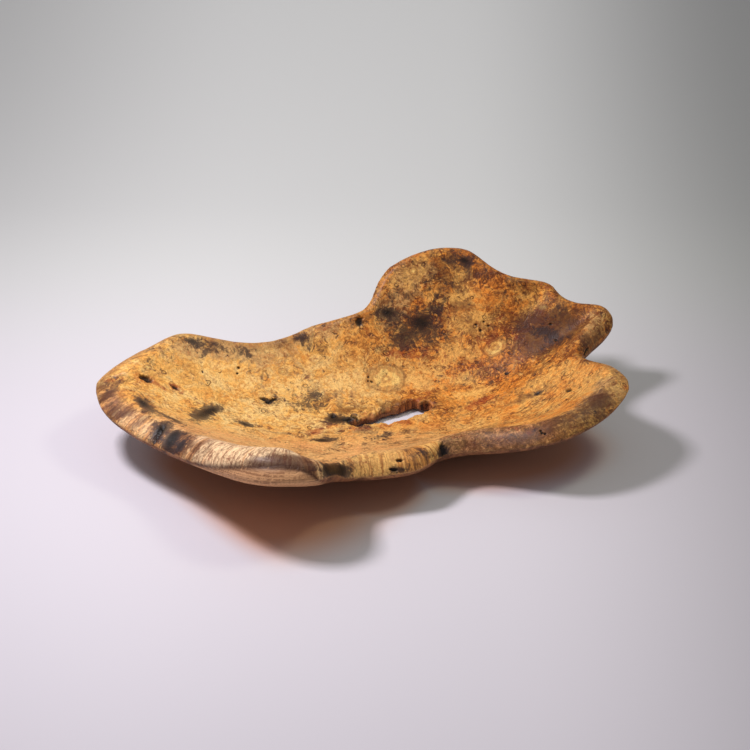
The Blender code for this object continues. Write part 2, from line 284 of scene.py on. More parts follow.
# For a pit, the last number is its depth in millimetres.
PITS: tuple[Row, ...] = (
    (-182, 18, 6.2, 3.6, -5, 3.0),
    (-159, 23, 3.8, 2.0, -16, 1.2),
    (-84, 44, 6.1, 2.2, -15, 2.0),
    (-78, 45, 6.1, 1.7, 41, 2.0),
    (-81, 42, 3.2, 2.4, 28, 3.0),
    (-108, 68, 1.5, 1.2, -14, 1.5),
    (-109, 63, 1.4, 1.1, 17, 1.2),
    (-138, 53, 1.4, 0.9, -65, 1.0),
    (5, 78, 1.2, 1.0, 10, 1.0),
    (8, 75, 1.6, 1.0, -18, 1.0),
    (5, 75, 1.0, 0.9, 17, 1.0),
    (-3, 107, 4.9, 3.6, 90, 1.6),
    (174, 13, 3.9, 2.1, -58, 2.5),
    (145, -68, 1.4, 1.1, -11, 1.5),
    (144, -66, 1.2, 1.0, -57, 1.2),
    (147, -69, 1.1, 1.0, -17, 1.2),
    (-25, 33, 3.6, 2.2, -88, 2.0),
    (-3, 29, 5.7, 2.1, -34, 4.0),
    (-12, 26, 5.0, 2.4, 10, 2.0),
    (167, 111, 1.6, 1.2, -3, 0.8),
    (171, 99, 1.6, 1.1, -48, 0.8),
    (112, 116, 1.2, 1.0, 0, 1.0),
    (105, 114, 1.2, 1.0, 0, 1.0),
    (108, 118, 1.2, 1.0, 0, 1.0),
    (101, 117, 1.2, 1.0, -1, 1.0),
    (25, -98, 3.4, 1.5, -9, 2.0),
    (32, -98, 2.8, 1.5, -1, 2.0),
    (67, -66, 7.0, 3.3, -63, 2.0),
    (195, 70, 6.1, 1.4, 50, 1.5),
    (150, 31, 2.1, 1.5, 8, 0.9),
    (127, 81, 1.8, 1.3, 11, 0.9),
)
# The line that the grain of the near side and the right tongue follows.
GRAIN_LINE: tuple[tuple[float, float], ...] = (
    (-228, 60),
    (-205, -8),
    (-160, -52),
    (-90, -84),
    (0, -74),
    (80, -48),
    (150, -34),
    (205, -6),
    (232, 40),
)
# Across and how far the hole's far wall leans in over the hole.
HOLE_BROW: tuple[tuple[float, float], ...] = (
    (-14, 0.0), (-8, 2.5), (-2, 4.5), (4, 6.5), (11, 6.5), (15, 5.0), (30, 4.5), (37, 2.5), (44, 0.0),
)
# Across and height of the sharp line where the near left lobe's flat face starts.
RIDGE_LINE: tuple[tuple[float, float], ...] = (
    (-134, 46), (-121, 53.7), (-108, 61.3), (-96, 67.9), (-84, 72.9), (-72, 75.6), (-61, 76.6),
    (-49, 75.7), (-42, 73.1), (-36, 69.3), (-31.5, 64.4), (-28, 58),
)
# Across the near side, how wide the streaked band of the rim is.
BAND_WIDTH: tuple[tuple[float, float], ...] = (
    (-230, 18), (-190, 21), (-150, 24), (-125, 34), (-60, 40), (-30, 36), (-22, 20), (60, 22),
    (68, 12), (76, 0),
)
# Open cracks: the points of each one's line, from above.
CRACKS: tuple[tuple[tuple[float, float], ...], ...] = (
    ((-160, -56), (-162, -62), (-165, -67), (-168, -71)),
    ((-30, -146), (-26, -149), (-25, -152)),
    ((68.4, -64), (69.3, -67)),
    ((-212, 10), (-203, 14), (-192, 12)),
    ((195, 66), (199, 71), (203, 78)),
)
HOLE_MIDDLE = (0.026, 0.038)
HOLE_REACH = 0.05


def srgb(red: int, green: int, blue: int) -> tuple[float, float, float, float]:
    """A colour given as it looks on a screen, as the linear values that a shader takes.

    Args:
        red: Red from 0 to 255.
        green: Green from 0 to 255.
        blue: Blue from 0 to 255.

    Returns:
        Linear red, green, blue and 1.
    """
    parts = []
    for part in (red, green, blue):
        share = part / 255
        parts.append(share / 12.92 if share <= 0.04045 else ((share + 0.055) / 1.055) ** 2.4)
    return (parts[0], parts[1], parts[2], 1.0)


def smooth_step(low: float, high: float, value: np.ndarray) -> np.ndarray:
    """0 below low, 1 above high and a smooth rise between them.

    Args:
        low: Where the rise starts.
        high: Where the rise ends.
        value: The values to turn into shares.

    Returns:
        A share from 0 to 1 for each value.
    """
    share = np.clip((value - low) / (high - low), 0, 1)
    return share * share * (3 - 2 * share)


class Nodes:
    """Adds shader nodes to one tree, each placed to the right of the last."""

    def __init__(self, tree: bpy.types.NodeTree) -> None:
        """Keep the tree that the nodes are added to."""
        self.tree = tree

    def add(self, kind: str, inputs: dict | None = None, **settings) -> bpy.types.Node:
        """Add a node.

        Args:
            kind: The node's type.
            inputs: A value or a socket for each named or numbered input.
            **settings: Values for the node's own properties.

        Returns:
            The new node.
        """
        node = self.tree.nodes.new(kind)
        node.location = (len(self.tree.nodes) * 60, 0)
        for name, value in settings.items():
            setattr(node, name, value)
        for name, value in (inputs or {}).items():
            self.feed(node.inputs[name], value)
        return node

    def feed(self, socket: bpy.types.NodeSocket, value) -> None:
        """Link a socket to another one, or give it a plain value."""
        if isinstance(value, bpy.types.NodeSocket):
            self.tree.links.new(value, socket)
        else:
            socket.default_value = value

    def maths(self, operation: str, *values, clamp: bool = False) -> bpy.types.NodeSocket:
        """The result of a sum on one to three values."""
        inputs = dict(enumerate(values))
        node = self.add("ShaderNodeMath", inputs, operation=operation, use_clamp=clamp)
        return node.outputs[0]

    def vectors(self, operation: str, *values) -> bpy.types.NodeSocket:
        """The result of a sum on vectors."""
        node = self.add("ShaderNodeVectorMath", dict(enumerate(values)), operation=operation)
        return node.outputs[0]

    def scaled(self, vector, scale: float) -> bpy.types.NodeSocket:
        """A vector times a number."""
        node = self.add("ShaderNodeVectorMath", {0: vector, "Scale": scale}, operation="SCALE")
        return node.outputs[0]

    def noise(self, vector, size: float, detail: float = 2.0, rough: float = 0.5,
              twist: float = 0.0) -> bpy.types.Node:
        """A noise texture whose lumps are about size metres wide."""
        inputs = {"Vector": vector, "Scale": 1 / size, "Detail": detail,
                  "Roughness": rough, "Distortion": twist}
        return self.add("ShaderNodeTexNoise", inputs)

    def cells(self, vector, size: float, feature: str = "F1") -> bpy.types.Node:
        """A cell texture whose cells are about size metres wide."""
        return self.add("ShaderNodeTexVoronoi", {"Vector": vector, "Scale": 1 / size},
                        feature=feature)

    def step(self, value, low: float, high: float, start: float = 0.0,
             end: float = 1.0) -> bpy.types.NodeSocket:
        """A smooth rise from start to end as value goes from low to high."""
        inputs = {"Value": value, "From Min": low, "From Max": high,
                  "To Min": start, "To Max": end}
        node = self.add("ShaderNodeMapRange", inputs, interpolation_type="SMOOTHSTEP")
        return node.outputs[0]

    def ramp(self, value, stops: tuple) -> bpy.types.NodeSocket:
        """A colour ramp over stops of place and colour."""
        node = self.add("ShaderNodeValToRGB", {"Fac": value})
        elements = node.color_ramp.elements
        elements[0].position, elements[0].color = stops[0]
        elements[1].position, elements[1].color = stops[-1]
        for place, colour in stops[1:-1]:
            elements.new(place).color = colour
        return node.outputs["Color"]

    def mix(self, share, first, second, blend: str = "MIX") -> bpy.types.NodeSocket:
        """Two colours mixed by a share."""
        node = self.add("ShaderNodeMix", {0: share}, data_type="RGBA", blend_type=blend)
        self.feed(node.inputs[6], first)
        self.feed(node.inputs[7], second)
        return node.outputs[2]

    def attribute(self, name: str) -> bpy.types.NodeSocket:
        """A number that the mesh carries at each point."""
        return self.add("ShaderNodeAttribute", attribute_name=name).outputs["Fac"]

    def place(self, name: str) -> bpy.types.NodeSocket:
        """A vector that the mesh carries at each point."""
        return self.add("ShaderNodeAttribute", attribute_name=name).outputs["Vector"]


class Stain(Enum):
    """The soft stains that the wood carries, by the name of their mesh attribute."""

    GREY = "grey_stain"
    BROWN = "brown_cloud"
    RED = "red_stain"
    GOLD = "gold_patch"
    OLIVE = "olive_patch"


STAIN_ROWS = {
    Stain.GREY: GREY_STAINS,
    Stain.BROWN: BROWN_CLOUDS,
    Stain.RED: RED_STAINS,
    Stain.GOLD: GOLD_PATCHES,
    Stain.OLIVE: OLIVE_PATCHES,
}


def shader_group(name: str, inputs: dict, fill) -> bpy.types.NodeTree:
    """A node group with one mask as its output.

    Args:
        name: The group's name.
        inputs: The kind and the first value of each input, by name.
        fill: Builds the inside from the node maker and the input sockets.

    Returns:
        The group's tree.
    """
    tree = bpy.data.node_groups.new(name, "ShaderNodeTree")
    for label, (kind, value) in inputs.items():
        socket = tree.interface.new_socket(label, in_out="INPUT", socket_type=kind)
        if value is not None:
            socket.default_value = value
    tree.interface.new_socket("Mask", in_out="OUTPUT", socket_type="NodeSocketFloat")
    nodes = Nodes(tree)
    source = nodes.add("NodeGroupInput")
    nodes.add("NodeGroupOutput", {"Mask": fill(nodes, source.outputs)})
    return tree


def worm_lines(nodes: Nodes, given) -> bpy.types.NodeSocket:
    """Thin winding lines that close round the eyes, broken into short dashes."""
    scale = nodes.maths("DIVIDE", 1.0, given["Size"])
    field = nodes.add("ShaderNodeTexNoise", {"Vector": given["Point"], "Scale": scale, "Detail": 1.2,
                                             "Roughness": 0.5, "Distortion": 0.5}).outputs[0]
    wave = nodes.maths("FRACT", nodes.maths("MULTIPLY", field, given["Lines"]))
    off = nodes.maths("MULTIPLY", nodes.maths("ABSOLUTE", nodes.maths("SUBTRACT", wave, 0.5)), 2.0)
    line = nodes.step(off, 0.1, 0.56, 1.0, 0.0)
    chips = nodes.noise(given["Point"], 0.0034, 2, 0.6).outputs[0]
    low = nodes.maths("SUBTRACT", given["Break"], 0.07)
    high = nodes.maths("ADD", given["Break"], 0.07)
    return nodes.maths("MULTIPLY", line, nodes.step(chips, low, high))


def fleck_specks(nodes: Nodes, given) -> bpy.types.NodeSocket:
    """Ragged dark flecks that cover more of the wood as the amount rises."""
    scale = nodes.maths("DIVIDE", 1.0, given["Size"])
    field = nodes.add("ShaderNodeTexNoise", {"Vector": given["Point"], "Scale": scale, "Detail": 3.0,
                                             "Roughness": 0.68, "Distortion": 0.4}).outputs[0]
    low = nodes.maths("SUBTRACT", 0.72, nodes.maths("MULTIPLY", given["Amount"], 0.34))
    return nodes.step(field, low, nodes.maths("ADD", low, 0.08))


def pin_knots(nodes: Nodes, given) -> bpy.types.NodeSocket:
    """Small round knots, each with rings about a dark middle."""
    scale = nodes.maths("DIVIDE", 1.0, given["Size"])
    cells = nodes.add("ShaderNodeTexVoronoi", {"Vector": given["Point"], "Scale": scale})
    parts = nodes.add("ShaderNodeSeparateColor", {0: cells.outputs["Color"]})
    picked = nodes.maths("LESS_THAN", parts.outputs[0], given["Amount"])
    reach = nodes.maths("ADD", 0.16, nodes.maths("MULTIPLY", parts.outputs[1], 0.26))
    share = nodes.maths("DIVIDE", cells.outputs["Distance"], reach)
    near = nodes.step(share, 0.75, 1.0, 1.0, 0.0)
    ring = nodes.maths("COSINE", nodes.maths("MULTIPLY", share, given["Rings"]))
    rings = nodes.step(ring, -0.1, 0.7)
    return nodes.maths("MULTIPLY", nodes.maths("MULTIPLY", near, rings), picked)


def broken_stain(nodes: Nodes, given) -> bpy.types.NodeSocket:
    """A stain's share with its edge broken into specks and clouds."""
    fine = nodes.noise(given["Point"], 0.0036, 4, 0.72, 0.9).outputs[0]
    scale = nodes.maths("DIVIDE", 1.0, given["Size"])
    broad = nodes.add("ShaderNodeTexNoise", {"Vector": given["Point"], "Scale": scale, "Detail": 3.0,
                                             "Roughness": 0.6, "Distortion": 0.6}).outputs[0]
    rough = nodes.maths("SUBTRACT", nodes.maths("ADD", fine, broad), 1.0)
    field = nodes.maths("ADD", given["Share"], nodes.maths("MULTIPLY", rough, 1.6))
    return nodes.step(field, 0.12, 0.6)


@dataclass(frozen=True)
class BurlWood:
    """Oiled maple burl: golden, curly and knotty, with dark stains and a satin sheen."""

    pale: tuple = srgb(255, 214, 136)
    honey: tuple = srgb(248, 188, 98)
    amber: tuple = srgb(226, 150, 66)
    deep: tuple = srgb(214, 122, 40)
    line: tuple = srgb(172, 102, 46)
    dark_line: tuple = srgb(116, 54, 20)
    warm_mid: tuple = srgb(242, 152, 58)
    warm_pale: tuple = srgb(255, 192, 98)
    olive: tuple = srgb(206, 166, 110)
    pink: tuple = srgb(255, 218, 170)
    tan: tuple = srgb(238, 176, 120)
    mauve: tuple = srgb(142, 92, 68)
    umber: tuple = srgb(66, 36, 24)
    slate: tuple = srgb(48, 36, 38)
    rust: tuple = srgb(158, 52, 22)
    soot: tuple = srgb(20, 12, 9)
    # The flat face's colours, darker than the band above as painted shade.
    facet_pale: tuple = srgb(218, 164, 116)
    facet_dark: tuple = srgb(136, 88, 58)
    eye_gold: tuple = srgb(255, 212, 124)
    cloud_brown: tuple = srgb(112, 56, 24)
    cloud_dark: tuple = srgb(82, 42, 24)
    cuff_pale: tuple = srgb(204, 142, 98)
    cuff_olive: tuple = srgb(156, 116, 62)
    near_tan: tuple = srgb(234, 178, 118)
    hole_mid: tuple = srgb(92, 46, 26)
    hole_pale: tuple = srgb(186, 112, 62)
    far_rim_dark: tuple = (0.56, 0.47, 0.42, 1.0)
    # The underside's colours, darker as painted shade.
    under_pale: tuple = srgb(164, 108, 70)
    under_dark: tuple = srgb(100, 62, 40)
    roughness: float = 0.46
    specular: float = 0.24
    coat: float = 0.05
    coat_roughness: float = 0.3

    def build(self) -> bpy.types.Material:
        """The material, which reads Object coordinates and the skin's own attributes."""
        material = bpy.data.materials.new("oiled_maple_burl")
        material.use_nodes = True
        tree = material.node_tree
        nodes = Nodes(tree)
        shader = tree.nodes["Principled BSDF"]
        point = nodes.add("ShaderNodeTexCoord").outputs["Object"]
        colour, height, gloss = self.wood(nodes, point)
        bump = nodes.add("ShaderNodeBump", {"Strength": 0.7, "Distance": 0.0005, "Height": height})
        nodes.feed(shader.inputs["Base Color"], colour)
        nodes.feed(shader.inputs["Roughness"], gloss)
        nodes.feed(shader.inputs["Normal"], bump.outputs["Normal"])
        shader.inputs["Specular IOR Level"].default_value = self.specular
        shader.inputs["Coat Weight"].default_value = self.coat
        shader.inputs["Coat Roughness"].default_value = self.coat_roughness
        shader.inputs["Metallic"].default_value = 0.0
        return material

    def wood(self, nodes: Nodes, point) -> tuple:
        """The colour, relief and roughness of the wood.

        Args:
            nodes: The tree's node maker.
            point: The socket with the place of each point on the bowl.

        Returns:
            Sockets for the colour, the relief's height and the roughness.
        """
        vector, number = "NodeSocketVector", "NodeSocketFloat"
        worms = shader_group("worm_lines", {"Point": (vector, None), "Size": (number, 0.009),
                                            "Lines": (number, 5.0), "Break": (number, 0.45)}, worm_lines)
        flecks = shader_group("fleck_specks", {"Point": (vector, None), "Size": (number, 0.003),
                                               "Amount": (number, 0.4)}, fleck_specks)
        knots = shader_group("pin_knots", {"Point": (vector, None), "Size": (number, 0.008),
                                           "Amount": (number, 0.4), "Rings": (number, 9.0)}, pin_knots)
        stains = shader_group("broken_stain", {"Point": (vector, None), "Size": (number, 0.012),
                                               "Share": (number, 0.0)}, broken_stain)

        def group(tree: bpy.types.NodeTree, **inputs) -> bpy.types.NodeSocket:
            node = nodes.tree.nodes.new("ShaderNodeGroup")
            node.node_tree = tree
            for label, value in inputs.items():
                nodes.feed(node.inputs[label.capitalize()], value)
            return node.outputs["Mask"]

        def times(*values) -> bpy.types.NodeSocket:
            result = values[0]
            for value in values[1:]:
                result = nodes.maths("MULTIPLY", result, value)
            return result

        wander = nodes.scaled(nodes.vectors("SUBTRACT", nodes.noise(point, 0.016, 2).outputs["Color"],
                                            (0.5, 0.5, 0.5)), 0.01)
        warped = nodes.vectors("ADD", point, wander)
        grain = nodes.vectors("ADD", nodes.place("grain_run"), nodes.scaled(wander, 0.3))
        streak = nodes.vectors("ADD", nodes.place("rim_run"), nodes.scaled(wander, 0.15))
        warmth = nodes.attribute("warmth")
        knotty = nodes.attribute("knotty")
        arcs = nodes.attribute("arc_share")

        broad = nodes.noise(point, 0.045, 3, 0.55, 0.6).outputs[0]
        middle = nodes.noise(warped, 0.013, 4, 0.62, 0.8).outputs[0]
        tone = nodes.maths("ADD", nodes.maths("MULTIPLY", broad, 0.4),
                           nodes.maths("MULTIPLY", middle, 0.6))
        # Deeper orange and darker towards the right and back: partly the wood's own colour, partly painted shade.
        cool = nodes.ramp(tone, ((0.36, self.amber), (0.49, self.honey), (0.62, self.pale)))
        warm = nodes.ramp(tone, ((0.34, self.deep), (0.46, self.warm_mid), (0.6, self.warm_pale)))
        colour = nodes.mix(warmth, cool, warm)
        near_left = times(arcs, nodes.maths("SUBTRACT", 1.0, warmth))
        colour = nodes.mix(times(near_left, 0.62), colour, nodes.mix(nodes.step(tone, 0.4, 0.6), self.tan, self.near_tan))
        olive = group(stains, point=point, share=nodes.attribute(Stain.OLIVE.value), size=0.014)
        colour = nodes.mix(times(olive, 0.75), colour, self.olive)
        gold = group(stains, point=point, share=nodes.attribute(Stain.GOLD.value), size=0.01)
        colour = nodes.mix(times(gold, 0.78), colour, nodes.mix(warmth, self.pale, self.honey))

        quiet = nodes.step(nodes.noise(point, 0.03, 3, 0.6, 0.8).outputs[0], 0.38, 0.6, 0.42, 1.0)
        eye = nodes.attribute("eye_reach")
        wobble = nodes.maths("MULTIPLY", nodes.noise(point, 0.009, 3, 0.55).outputs[0], 0.7)
        eye_field = nodes.maths("ADD", eye, wobble)
        eye_share = nodes.step(eye_field, 0.85, 1.5, 1.0, 0.0)
        clear = nodes.maths("SUBTRACT", 1.0, times(eye_share, 0.94))
        calm = times(nodes.maths("SUBTRACT", 1.0, times(gold, 0.7)), clear, quiet)
        curl = nodes.maths("MAXIMUM", group(worms, point=warped, size=0.010, lines=5.2),
                           times(group(worms, point=point, size=0.0062, lines=3.6), 0.85))
        arc_field = nodes.noise(grain, 0.0019, 4, 0.62, 0.3).outputs[0]
        arc_dark = nodes.step(arc_field, 0.47, 0.62, 0.0, 1.0)
        arc_dark = nodes.maths("MAXIMUM", arc_dark, times(curl, 0.55))
        figure = times(nodes.mix(arcs, curl, arc_dark), calm)
        line_colour = nodes.mix(nodes.maths("MAXIMUM", warmth, times(arcs, 0.35)), self.line, self.dark_line)
        colour = nodes.mix(times(figure, nodes.step(warmth, 0.0, 0.9, 0.58, 0.86)), colour, line_colour)

        cluster = nodes.step(nodes.noise(warped, 0.013, 6, 0.66, 1.0).outputs[0], 0.5, 0.64)
        colour = nodes.mix(times(cluster, nodes.step(knotty, 0.3, 0.75, 0.14, 0.72), clear, nodes.maths("SUBTRACT", 1.0, gold)), colour, self.cloud_brown)
        cloud = nodes.noise(warped, 0.02, 4, 0.62, 0.6).outputs[0]
        dense = times(knotty, nodes.step(cloud, 0.38, 0.6, 0.25, 1.2))
        specks = group(flecks, point=warped, size=0.0042, amount=nodes.maths("MULTIPLY", dense, 0.92))
        colour = nodes.mix(times(specks, calm, 0.86), colour, self.dark_line)
        small = group(knots, point=warped, size=0.009, amount=nodes.maths("MULTIPLY", dense, 0.8))
        large = group(knots, point=warped, size=0.017, amount=nodes.maths("MULTIPLY", dense, 0.9), rings=15.0)
        knot = nodes.maths("MAXIMUM", small, times(large, 0.85))
        colour = nodes.mix(times(knot, clear, 0.72), colour, self.umber)

        eye_wave = nodes.maths("SINE", nodes.maths("MULTIPLY", eye_field, 13.0))
        eye_base = nodes.mix(nodes.step(middle, 0.35, 0.6), self.honey, self.eye_gold)
        colour = nodes.mix(times(eye_share, 0.92), colour, eye_base)
        colour = nodes.mix(times(nodes.step(eye_wave, -0.4, 1.0), nodes.step(eye_field, 1.0, 1.7, 1.0, 0.0), 0.55), colour, self.line)
        eye_edge = times(nodes.step(eye_field, 1.12, 1.3), nodes.step(eye_field, 1.3, 1.5, 1.0, 0.0))
        colour = nodes.mix(times(eye_edge, 0.6), colour, self.dark_line)

        band = nodes.attribute("band_share")
        # On the near left lobe the band turns pale pink and lighter: partly its pale wood, partly painted sheen.
        sheen_share = nodes.attribute("band_sheen")
        coarse = nodes.noise(streak, 0.011, 3, 0.6, 0.5).outputs[0]
        mean_tone = nodes.maths("ADD", coarse, nodes.attribute("band_tone"))
        streak_pale = nodes.mix(sheen_share, self.honey, self.pink)
        streak_mid = nodes.mix(sheen_share, self.amber, self.tan)
        band_light = nodes.mix(nodes.step(mean_tone, 0.47, 0.58), streak_mid, streak_pale)
        band_colour = nodes.mix(nodes.step(mean_tone, 0.36, 0.45), self.mauve, band_light)
        dashes = nodes.step(nodes.noise(streak, 0.0026, 3, 0.6, 0.6).outputs[0], 0.4, 0.52, 1.0, 0.0)
        hairs = nodes.step(nodes.noise(streak, 0.0013, 2, 0.6, 0.4).outputs[0], 0.4, 0.5, 1.0, 0.0)
        dash_colour = nodes.mix(nodes.step(mean_tone, 0.4, 0.56), self.umber, nodes.mix(sheen_share, self.line, self.mauve))
        band_colour = nodes.mix(times(dashes, 0.75), band_colour, dash_colour)
        band_colour = nodes.mix(times(hairs, 0.35), band_colour, dash_colour)
        colour = nodes.mix(times(band, 0.9), colour, band_colour)
        cuff = group(stains, point=point, share=nodes.attribute("cuff_share"), size=0.012)
        cuff_specks = nodes.maths("MAXIMUM", group(flecks, point=warped, size=0.0048, amount=0.72), curl)
        colour = nodes.mix(times(cuff, 0.66), colour, nodes.mix(times(cuff_specks, 0.9), nodes.mix(nodes.attribute("cuff_olive"), self.cuff_pale, self.cuff_olive), self.umber))
        # The far rim is darker and greyer in broken patches along its edge.
        far_rim = group(stains, point=point, share=nodes.attribute("far_rim"), size=0.015)
        colour = nodes.mix(times(far_rim, 0.7), colour, self.far_rim_dark, "MULTIPLY")

        dust = nodes.noise(warped, 0.0021, 3, 0.7, 0.6).outputs[0]
        dust_tone = nodes.step(dust, 0.4, 0.6, 0.8, 1.12)
        dust_grey = nodes.add("ShaderNodeCombineColor", {0: dust_tone, 1: dust_tone, 2: dust_tone}).outputs[0]
        colour = nodes.mix(1.0, colour, dust_grey, "MULTIPLY")

        brown = group(stains, point=warped, share=nodes.attribute(Stain.BROWN.value), size=0.012)
        red = group(stains, point=warped, share=nodes.attribute(Stain.RED.value), size=0.01)
        grey = group(stains, point=warped, share=nodes.attribute(Stain.GREY.value), size=0.011)
        colour = nodes.mix(times(red, 0.62), colour, self.rust)
        weight = nodes.step(nodes.attribute(Stain.BROWN.value), 0.25, 0.85, 0.5, 1.0)
        shaded = nodes.mix(0.86, colour, self.cloud_dark)
        colour = nodes.mix(times(brown, weight), colour, shaded)
        smoked = nodes.mix(0.86, colour, self.slate)
        colour = nodes.mix(times(grey, 0.95), colour, smoked)
        core = nodes.step(nodes.attribute(Stain.GREY.value), 0.5, 1.0)
        colour = nodes.mix(times(core, grey, 0.95), colour, self.soot)

        # The near left lobe's flat face: fine parallel lines over a darker brown, which is painted shade on the steep
        # face.
        lines_along = nodes.vectors("ADD", nodes.place("rim_along"), nodes.scaled(wander, 0.12))
        parallel = nodes.noise(lines_along, 0.0012, 2, 0.55, 0.15).outputs[0]
        facet_colour = nodes.mix(nodes.step(parallel, 0.34, 0.62, 0.25, 1.0), self.facet_dark, self.facet_pale)
        facet = nodes.attribute("facet_share")
        under = nodes.attribute("under_share")
        # Faces that point down take a darker brown: the lumps and lines are the wood's own, the darkness is painted
        # shade.
        lumps = nodes.noise(point, 0.018, 5, 0.65, 0.5).outputs[0]
        under_colour = nodes.mix(nodes.step(lumps, 0.36, 0.62), self.under_dark, self.under_pale)
        under_colour = nodes.mix(times(curl, 0.4), under_colour, self.umber)
        colour = nodes.mix(under, colour, under_colour)
        colour = nodes.mix(facet, colour, facet_colour)

        # The hole's wall and lip: ragged streaks of brown and black, darkened as painted shade inside the hole.
        hole = nodes.attribute("hole_share")
        upright = nodes.vectors("MULTIPLY", point, (1.0, 0.6, 0.15))
        rag = nodes.noise(upright, 0.004, 4, 0.62, 0.5).outputs[0]
        hole_colour = nodes.ramp(rag, ((0.34, self.soot), (0.46, self.hole_mid), (0.62, self.hole_pale)))
        colour = nodes.mix(hole, colour, hole_colour)
        # Pits and cracks painted near-black: partly their dark inner wood, partly painted shade in the recess.
        colour = nodes.mix(times(nodes.attribute("dug_share"), 0.95), colour, self.soot)
        # A dark broken line along the near left lobe's ridge: painted shade in its shallow crease.
        ridge = nodes.attribute("ridge_share")
        ridge_break = nodes.step(nodes.noise(point, 0.006, 4, 0.65).outputs[0], 0.26, 0.46, 0.35, 1.0)
        colour = nodes.mix(times(ridge, ridge_break, 0.95), colour, self.umber)

        fibre = nodes.noise(warped, 0.0014, 3, 0.6).outputs[0]
        uneven = nodes.noise(point, 0.007, 3, 0.55).outputs[0]
        dips = nodes.maths("ADD", times(knot, 0.7), times(figure, 0.3))
        height = nodes.maths("SUBTRACT", nodes.maths("ADD", times(fibre, 0.5), times(uneven, 1.2)), dips)
        gloss = nodes.maths("ADD", times(middle, 0.24), self.roughness - 0.12)
        gloss = nodes.maths("ADD", gloss, nodes.maths("ADD", times(under, 0.2), times(hole, 0.3)))
        return colour, height, gloss


